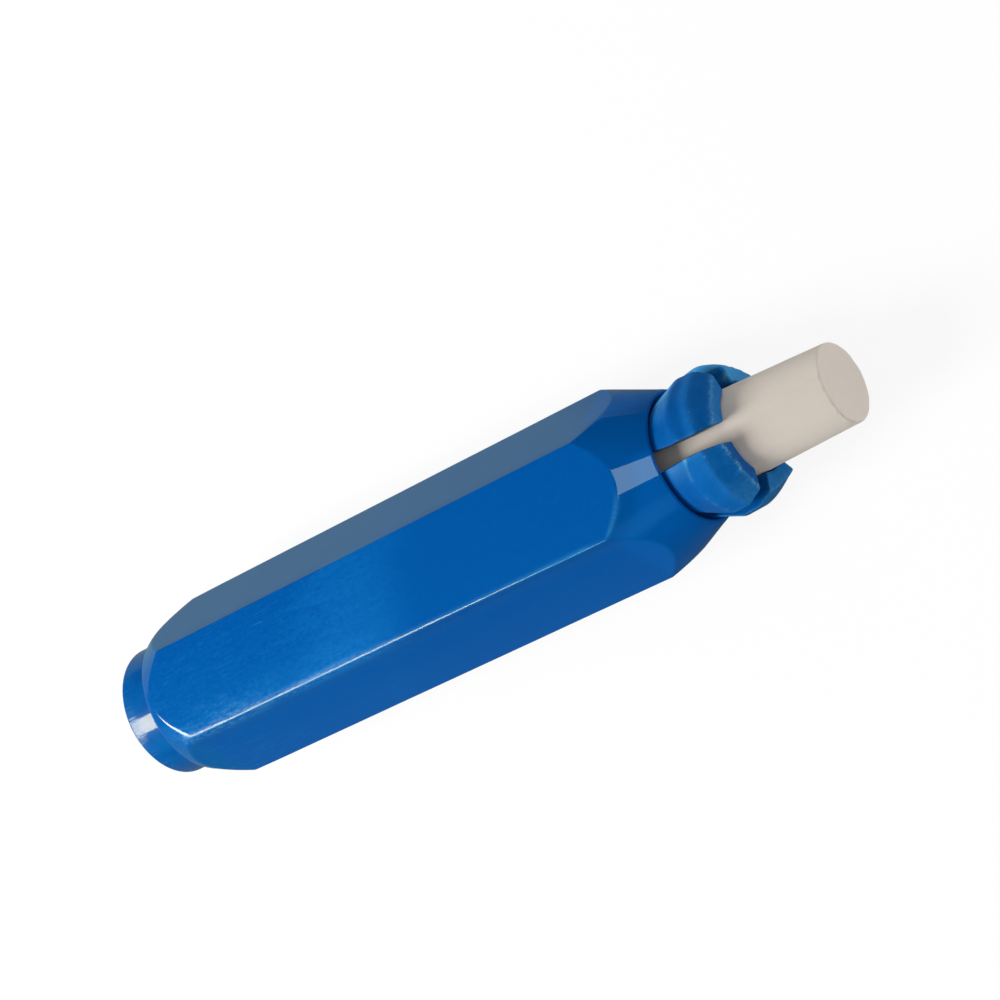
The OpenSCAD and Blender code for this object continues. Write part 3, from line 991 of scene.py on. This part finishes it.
def barrel_material():
    """Glossy moulded plastic. The upper flat is clouded by handling: a broad pale band a little
    behind the middle, a rubbed strip along the near edge of the rear half, fine mottling and hair
    scratches, with a painted sheen that lightens it towards the near edge at the rear; the other
    flats are cleaner. Each face has its own painted shade of the blue, and a pale line, partly wear
    and partly painted highlight, runs along the near long edge, with a painted glint on the front
    arc."""
    material, n = new_material("barrel_plastic")
    co = n.coords()
    x, y, z = n.xyz(co)
    wide = n.noise(co, scale=0.16, detail=4, rough=0.6, distort=0.5) - 0.5
    streak = n.noise(n.coords((170, 1250, 1250)), detail=6, rough=0.66, distort=0.3) - 0.5
    grain = n.noise(n.coords((1300, 2500, 2500)), detail=5, rough=0.72, distort=0.2) - 0.5
    tiny = n.noise(n.coords((2600, 4300, 4300)), detail=3, rough=0.75) - 0.5
    mottle = streak * 1.35 + grain * 2.3
    top = n.fade(z, 16.6, 17.6)
    # broad cloud, its edges feathered along the holder
    slant = x + 3.4 + y * -0.35
    cloud = n.fade(abs(slant + wide * 7.0 + streak * 9.0), 11.0, 2.0)
    # rubbed strip
    inset = y * -1.0 - (wide * 4.0 + streak * 2.0)
    strip = n.fade(inset, 1.9, 5.0) * n.fade(x, 2.0, -9.0, low=0.06)
    rear = n.fade(x, 8.0, -8.0, low=0.12)
    # painted sheen: the upper flat is painted lighter towards its near edge at the rear
    painted_sheen = rear * n.fade(y, -4.6, 4.6, low=0.26, high=0.02, smooth=False)
    mask = cloud * 0.28 + strip * 0.34
    level = mask + painted_sheen + 0.015
    contrast = mask * 0.75 + (rear * 0.32 + 0.04)
    haze_and_sheen = (level + (mottle * contrast + tiny * 0.36)).clamped()
    haze_and_sheen = haze_and_sheen * (top * 0.90 + 0.10)
    # painted shading: the far flat is painted a little greyer, the front cone a little lighter with
    # its far part darker, and the rear cone darker
    sides = n.mix(n.fade(y, 4.0, 6.0), SIDE_PAINTED_SHADE_BLUE, FAR_PAINTED_SHADE_BLUE)
    sides = n.mix(n.fade(x, 29.5, 31.0), sides, FRONT_CONE_PAINTED_LIGHT_BLUE)
    far_front_painted_shade = n.fade(y, 0.7, 2.0) * n.fade(y, 7.2, 5.8) * n.fade(x, 30.0, 31.5)
    sides = n.mix(far_front_painted_shade, sides, FRONT_CONE_PAINTED_SHADE_BLUE)
    sides = n.mix(n.fade(x, -30.0, -31.5), sides, REAR_CONE_PAINTED_SHADE_BLUE)
    tone = n.mix(haze_and_sheen, n.mix(top, sides, BLUE), PALE_HAZE_AND_SHEEN_BLUE)
    # the strip is scuffed grey towards the rear corner
    scuff = strip * n.fade(x, -12.0, -25.0) * n.fade(streak + grain, -0.05, 0.22)
    tone = n.mix(scuff * top * 0.75, tone, SCUFF_GREY)
    # hair scratches, nearly along the holder, and a few askew, in patches
    along, askew, askew2 = [
        n.ramp(n.noise(n.coords(scale, turn), detail=2, rough=0.6), start, full)
        for scale, turn, start, full in SCRATCHES]
    patches = n.noise(co, scale=0.21, detail=3, rough=0.5, distort=0.8) \
        + n.fade(x, -17.0, -25.0, high=0.16)
    hair = along.most(askew.most(askew2)) * (rear * n.fade(patches, 0.40, 0.60))
    tone = n.mix(hair * 0.70, tone, SCRATCH_BLUE)
    # a pale line along the near long edge, partly wear and partly painted highlight, and a painted
    # glint on the front arc
    tone = n.mix(n.attribute("arc") * 0.55, tone, RUB_AND_HIGHLIGHT_BLUE)
    # a few dust specks caught in the skin
    cells = n.node("ShaderNodeTexVoronoi", {"Scale": 0.13, "Vector": co}, feature="F1")
    dust = n.ramp(cells.pick("Distance"), 0.011, 0.018, low=1.0, high=0.0)
    tone = n.mix(dust * 0.7, tone, DUST)
    # roughness: haze and scratches everywhere, and the near edge of the upper flat rubbed dull
    rough = 0.030 + haze_and_sheen * 0.05
    rough = (rough + hair * 0.12).clamped()
    rubbed = n.fade(y, -4.3, -5.1) * n.fade(x, 14.0, -26.0, low=0.34, high=1.05) \
        * n.fade(z, 17.15, 17.7)
    rough = (rough + rubbed * ((streak + grain) * 0.55 + 0.235)).clamped()
    height = n.noise(co, scale=0.8, detail=2, rough=0.5) * 0.6 + hair * -0.25
    front_tint = n.mix(n.fade(x, 15.0, 25.0), (0.84, 0.76, 0.44), (0.42, 0.80, 0.55))
    near_edge = n.fade(y, -4.6, -5.0) * n.fade(z, 17.5, 17.8)
    n.gloss_pair(
        tone, normal=n.bump(height, strength=0.16, distance=0.00001),
        share=0.03 + haze_and_sheen * 0.05,
        rough=rough, tint=n.mix(near_edge, (0.95, 1.0, 1.0), front_tint),
        haze_rough=0.32, haze_tint=(0.12, 0.85, 1.0))
    return material


def button_material():
    """The same glossy plastic, drawn lengthwise by its mould; the thumbed end is dulled."""
    material, n = new_material("button_plastic")
    co = n.coords()
    end = n.fade(n.xyz(co)[0], -37.3, -38.6)
    lines = n.noise(n.coords((130, 6500, 6500)), detail=3, rough=0.6)
    streak = n.ramp(lines, 0.44, 0.62)
    cloud = n.noise(co, scale=0.45, detail=5, rough=0.65, distort=0.5)
    tone = n.mix(n.ramp(cloud, 0.35, 0.70, low=0.05, high=0.75), BLUE, HAZE_BLUE)
    worn = streak * (end * 0.85 + 0.15)
    tone = n.mix(worn * 0.30, tone, DRAWN_BLUE)
    rough = 0.035 + worn * 0.30
    rough = (rough + n.noise(co, scale=4.0, detail=3, rough=0.6) * 0.02).clamped()
    height = streak * (end * 0.9 + 0.1) + cloud * 0.4
    n.gloss_pair(
        tone, normal=n.bump(height, strength=0.30, distance=0.00002),
        share=0.16 + end * 0.16,
        rough=rough, tint=(0.82, 0.74, 0.38),
        haze_rough=0.30, haze_tint=(0.90, 1.0, 0.90))
    return material


def collet_material():
    """The collet's tougher, slightly waxy plastic with bruised, paler edges. Each jaw face is
    painted lighter or darker as shading, the slot walls in painted shadow, and jaw 2 has a
    painted highlight speck.
    """
    base = (0.0, 0.117, 0.435)
    blotch, speck = tuple(min(1, c * 1.22 + 0.004) for c in base), tuple(c * 0.74 for c in base)
    edge_pale, nick_white, burr_and_glint_white = (0.05, 0.26, 0.55), (0.30, 0.46, 0.64), (0.16, 0.42, 0.62)
    # colours of the painted light and the painted shadow on the jaw faces
    pale, painted_brightest_blue = (0.034, 0.235, 0.52), (0.070, 0.400, 0.860)
    painted_shadow_blue, painted_deepest_shadow_blue = (0.0, 0.018, 0.150), (0.0, 0.027, 0.095)
    material, n = new_material("collet_plastic")
    co = n.coords()
    blots = n.ramp(n.noise(co, scale=0.50, detail=4, rough=0.6, distort=0.6), 0.36, 0.68)
    grain = n.noise(co, scale=4.2, detail=4, rough=0.65)
    tone = n.mix(blots * 0.75, base, blotch)
    tone = n.mix(n.ramp(grain, 0.5, 0.72) * 0.28, tone, speck)
    wear = n.attribute("wear")
    edge = wear * n.ramp(n.noise(co, scale=1.5, detail=5, rough=0.7), 0.36, 0.60, low=0.10)
    tone = n.mix(edge * 0.40, tone, edge_pale)
    # small white nicks, mostly on the edges
    nick = n.ramp(n.noise(co, scale=2.6, detail=3, rough=0.55), 0.665, 0.72) * (wear * 0.9 + 0.10)
    tone = n.mix(nick * 0.55, tone, nick_white)
    # painted light and shade of each face, mottled where it is painted light, and painted shadow on
    # the slot walls
    shade = n.attribute("tone")
    mottle = n.ramp(n.noise(co, scale=2.1, detail=5, rough=0.72), 0.36, 0.66, low=0.35)
    tone = n.mix((shade.most(0.0) * mottle).clamped(), tone, pale)
    tone = n.mix(n.fade(shade, 0.70, 1.0, smooth=False), tone, painted_brightest_blue)
    painted_darkness = (shade * -1.0).clamped()
    tone = n.mix(painted_darkness, tone, painted_shadow_blue)
    tone = n.mix(n.fade(painted_darkness, 0.50, 0.90, smooth=False), tone, painted_deepest_shadow_blue)
    broken = n.ramp(n.noise(co, scale=3.4, detail=3, rough=0.6), 0.40, 0.58, low=0.15)
    # white burrs and nicks, and the painted highlight speck on jaw 2
    burr = (n.attribute("burr") * broken).clamped()
    tone = n.mix(burr * 0.85, tone, burr_and_glint_white)
    rough = 0.26 + grain * 0.18
    rough = (rough + edge.most(burr) * 0.16).clamped()
    height = n.noise(co, scale=1.8, detail=4, rough=0.6) * 0.8 + grain * 0.35
    n.surface(n.principled({
        "Base Color": tone,
        "Roughness": rough,
        "Normal": n.bump(height, strength=0.55, distance=0.00005),
        "IOR": 1.49,
        "Specular IOR Level": 0.30,
        "Specular Tint": (0.14, 0.92, 1.0),
        "Subsurface Weight": 0.10,
        "Subsurface Radius": (0.3, 0.6, 1.0),
        "Subsurface Scale": 0.0006}))
    return material


def chalk_material():
    """Matt cast chalk, pitted and faintly streaked; the writing end's face is painted lighter,
    standing in for the light on it.
    """
    white, shaded, grain_white = (0.740, 0.677, 0.610), (0.712, 0.650, 0.583), (0.770, 0.706, 0.640)
    streak_tan, pit_tan, end_face_painted_light = (0.60, 0.54, 0.475), (0.50, 0.45, 0.39), (0.880, 0.803, 0.727)
    material, n = new_material("chalk")
    co = n.coords()
    wide = n.ramp(n.noise(co, scale=0.20, detail=4, rough=0.6, distort=0.5), 0.35, 0.7)
    grain = n.noise(co, scale=6.5, detail=5, rough=0.7)
    tone = n.mix(wide, white, shaded)
    tone = n.mix(n.ramp(grain, 0.30, 0.75), tone, grain_white)
    streak = n.ramp(n.noise(n.coords((110, 900, 900)), detail=4, rough=0.65), 0.55, 0.72)
    tone = n.mix(streak * 0.12, tone, streak_tan)
    pit = n.ramp(n.noise(co, scale=1.7, detail=4, rough=0.6), 0.255, 0.30, low=1.0, high=0.0)
    tone = n.mix(pit * 0.35, tone, pit_tan)
    # painted light on the writing end's face
    tone = n.mix(n.fade(n.xyz(co)[0], 56.38, 56.52) * 0.85, tone, end_face_painted_light)
    height = grain * 0.8 + n.noise(co, scale=20.0, detail=3, rough=0.6) * 0.3
    height = height - pit * 0.5
    n.surface(n.principled({
        "Base Color": tone,
        "Roughness": 0.93,
        "Diffuse Roughness": 0.5,
        "Specular IOR Level": 0.15,
        "Normal": n.bump(height, strength=0.40, distance=0.00004),
        "Subsurface Weight": 0.08,
        "Subsurface Radius": (1.0, 0.9, 0.8),
        "Subsurface Scale": 0.0005}))
    return material


def steel_material():
    """Drawn wire, stained here and there."""
    dark_steel, light_steel, stain_brown = (0.42, 0.42, 0.43), (0.60, 0.60, 0.61), (0.33, 0.29, 0.24)
    material, n = new_material("spring_steel")
    co = n.coords()
    drawn = n.noise(n.coords((900, 900, 900)), scale=3.0, detail=4, rough=0.6)
    tone = n.mix(n.ramp(drawn, 0.3, 0.7), dark_steel, light_steel)
    stain = n.ramp(n.noise(co, scale=0.35, detail=4, rough=0.6), 0.55, 0.75)
    tone = n.mix(stain * 0.4, tone, stain_brown)
    n.surface(n.principled({
        "Base Color": tone,
        "Metallic": 1.0,
        "Roughness": 0.24 + drawn * 0.16,
        "Normal": n.bump(drawn, strength=0.3, distance=0.00001)}))
    return material


# ---------------------------------------------------------------- pieces in their places
def place(obj, material, body, slot, node):
    """Gives obj its material, hides the CAD node it stands in for and, when a body is named, parents
    obj to that body's empty.
    """
    obj.data.materials.append(material)
    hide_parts(node)
    if body:
        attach(obj, body)
    return obj


barrel_plastic = barrel_material()
button_plastic = button_material()
collet_plastic = collet_material()
chalk_cast = chalk_material()
spring_steel = steel_material()

place(barrel_piece(), barrel_plastic, "barrel", "barrel", "barrel")
place(sleeve_piece(), collet_plastic, "collet", "collet", "collet_sleeve")
place(button_piece(), button_plastic, "collet", "button", "push_button")
place(chalk_piece(), chalk_cast, "chalk", "chalk", "chalk_stick")
for k in range(1, 6):
    jaw = place(jaw_piece(k), collet_plastic, None, "collet", f"jaw_{k}")
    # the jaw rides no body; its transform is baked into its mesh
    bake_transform(jaw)
spring = place(spring_piece(), spring_steel, "spring", "spring", "spring")
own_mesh(spring)


# ---------------------------------------------------------------- stage, lights, world, camera
scene = bpy.context.scene
scene.view_settings.view_transform = "Standard"
scene.view_settings.look = "None"
scene.view_settings.exposure = 0.0
scene.view_settings.gamma = 1.0
LIGHT_AIM = (0.008, 0, 0.009)    # metres; every light faces this point


def axes_matrix(x, y, z, origin):
    return Matrix([(x[k], y[k], z[k], origin[k]) for k in range(3)] + [(0, 0, 0, 1)])


def floor():
    """A white card. It bounces light like paper, but in reflections it shows darker, and darkest
    on the near side. Positions are in metres."""
    bpy.ops.mesh.primitive_grid_add(x_subdivisions=2, y_subdivisions=2, size=6.0,
                                    location=(0, 0, -0.00002))
    obj = bpy.context.object
    obj.name = "studio_floor"
    material, n = new_material("floor_card")
    ray = n.node("ShaderNodeLightPath")
    card = n.node("ShaderNodeBsdfDiffuse", {"Color": (0.66, 0.66, 0.66)})
    glow = n.node("ShaderNodeEmission", {"Color": (1, 1, 1), "Strength": 1.0})
    pale = n.node("ShaderNodeBsdfDiffuse", {"Color": (1.0, 1.0, 1.0)})
    seen = n.blend(0.90, pale, glow)
    x, y, _ = n.xyz(n.node("ShaderNodeNewGeometry").pick("Position"))
    # the dark near side starts further out towards the rear
    side = y + ((x + 0.045) * -0.15).most(0.0)
    near = n.fade(side, -0.045, 0.018, low=0.04, high=0.33, smooth=False)
    front = n.fade(x, 0.014, 0.034, low=1.0, high=0.30, smooth=False)
    rear = n.fade(x, -0.075, -0.12, low=1.0, high=0.8, smooth=False)
    mirror = n.node("ShaderNodeEmission", {
        "Color": (0.82, 1.09, 0.78), "Strength": near * front * rear})
    unseen = n.blend(ray.pick("Is Glossy Ray"), card, mirror)
    n.surface(n.blend(ray.pick("Is Camera Ray"), unseen, seen))
    obj.data.materials.append(material)


def feather_light(data, feather):
    """Fades a light towards its edges over this share of its sides."""
    data.use_nodes = True
    n = Nodes(data.node_tree)
    emission = [node for node in n.tree.nodes if node.type == "EMISSION"][0]
    parts = n.xyz(n.node("ShaderNodeNewGeometry").pick("Parametric"))
    across, along = [n.fade(n.math("PINGPONG", part, 0.5), 0.0, feather) for part in parts[:2]]
    n.put(emission.inputs["Strength"], across * along)


def soft_light(name, direction, distance, width, height, radiance, colour=(1, 1, 1),
               glossy=True, diffuse=True, width_axis=(1, 0, 0), feather=0.0):
    """A rectangular light that isn't seen itself. width lies as nearly along width_axis as it
    can; radiance is in floor whites."""
    z = Vector(direction).normalized()
    data = bpy.data.lights.new(name, "AREA")
    data.shape = "RECTANGLE"
    data.size, data.size_y = width, height
    data.energy = radiance * math.pi * width * height
    data.color = colour
    obj = bpy.data.objects.new(name, data)
    scene.collection.objects.link(obj)
    x = Vector(width_axis)
    x = (x - z * x.dot(z)).normalized()
    obj.matrix_world = axes_matrix(x, z.cross(x), z, Vector(LIGHT_AIM) + z * distance)
    if feather:
        feather_light(data, feather)
    obj.visible_camera = False
    obj.visible_glossy = glossy
    obj.visible_diffuse = diffuse


def studio_world():
    """Near white to the camera, dim and cyan in reflections, soft white for the rest."""
    world = bpy.data.worlds.new("studio")
    scene.world = world
    world.use_nodes = True
    n = Nodes(world.node_tree)
    background = n.tree.nodes["Background"]
    background.inputs["Color"].default_value = (1, 1, 1, 1)
    ray = n.node("ShaderNodeLightPath")
    glossy = ray.pick("Is Glossy Ray")
    n.put(background.inputs["Color"], n.mix(glossy, (1, 1, 1), (0.15, 1.0, 1.0)))
    unseen = n.node("ShaderNodeMix", {0: glossy, 2: 0.22, 3: 0.05}, data_type="FLOAT")
    strength = n.node("ShaderNodeMix", {0: ray.pick("Is Camera Ray"), 2: unseen, 3: 0.92},
                      data_type="FLOAT")
    n.put(background.inputs["Strength"], strength)


def camera():
    """Looks down at the holder from its front and near side."""
    data = bpy.data.cameras.new("camera")
    data.sensor_width = 36.0
    data.lens = 117.0
    data.clip_start, data.clip_end = 0.01, 20
    obj = bpy.data.objects.new("camera", data)
    scene.collection.objects.link(obj)
    right = Vector((0.74234, -0.35437, -0.56864))
    up = Vector((0.37035, 0.92427, -0.09252))
    back = Vector((0.55836, -0.14192, 0.81737))
    shift_right, shift_up = 0.0676, 0.006       # mm, to centre the view
    origin = Vector((204.583, -43.801, 288.703)) * MM \
        + right * shift_right * MM + up * shift_up * MM
    obj.matrix_world = axes_matrix(right, up, back, origin)
    scene.camera = obj


floor()
# the key is a long soft box lying over the rear end; a second box hangs almost overhead
soft_light("key_softbox", direction=(-0.70, -0.155, 0.687), distance=0.6, width=0.36, height=0.20,
           radiance=17.2, colour=(1.0, 0.99, 0.965))
soft_light("overhead_box", direction=(0.27, 0.048, 0.962), distance=0.6, width=0.22, height=0.32,
           radiance=3.6, colour=(0.74, 1.0, 0.97), diffuse=False)
soft_light("near_panel", direction=(-0.22, -0.80, 0.56), distance=0.8, width=1.5, height=0.60,
           radiance=0.60, colour=(0.16, 0.85, 1.5), diffuse=False, feather=0.35)
soft_light("overhead_fill", direction=(0.10, 0.10, 0.98), distance=0.9, width=1.0, height=1.0,
           radiance=0.12, glossy=False)
soft_light("front_fill", direction=(0.96, -0.12, 0.24), distance=0.8, width=0.5, height=0.5,
           radiance=2.4, glossy=False, width_axis=(0, 1, 0))
soft_light("far_fill", direction=(0.35, 0.93, 0.08), distance=0.9, width=0.6, height=0.6,
           radiance=1.50, glossy=False)
studio_world()
camera()

bpy.context.view_layer.update()
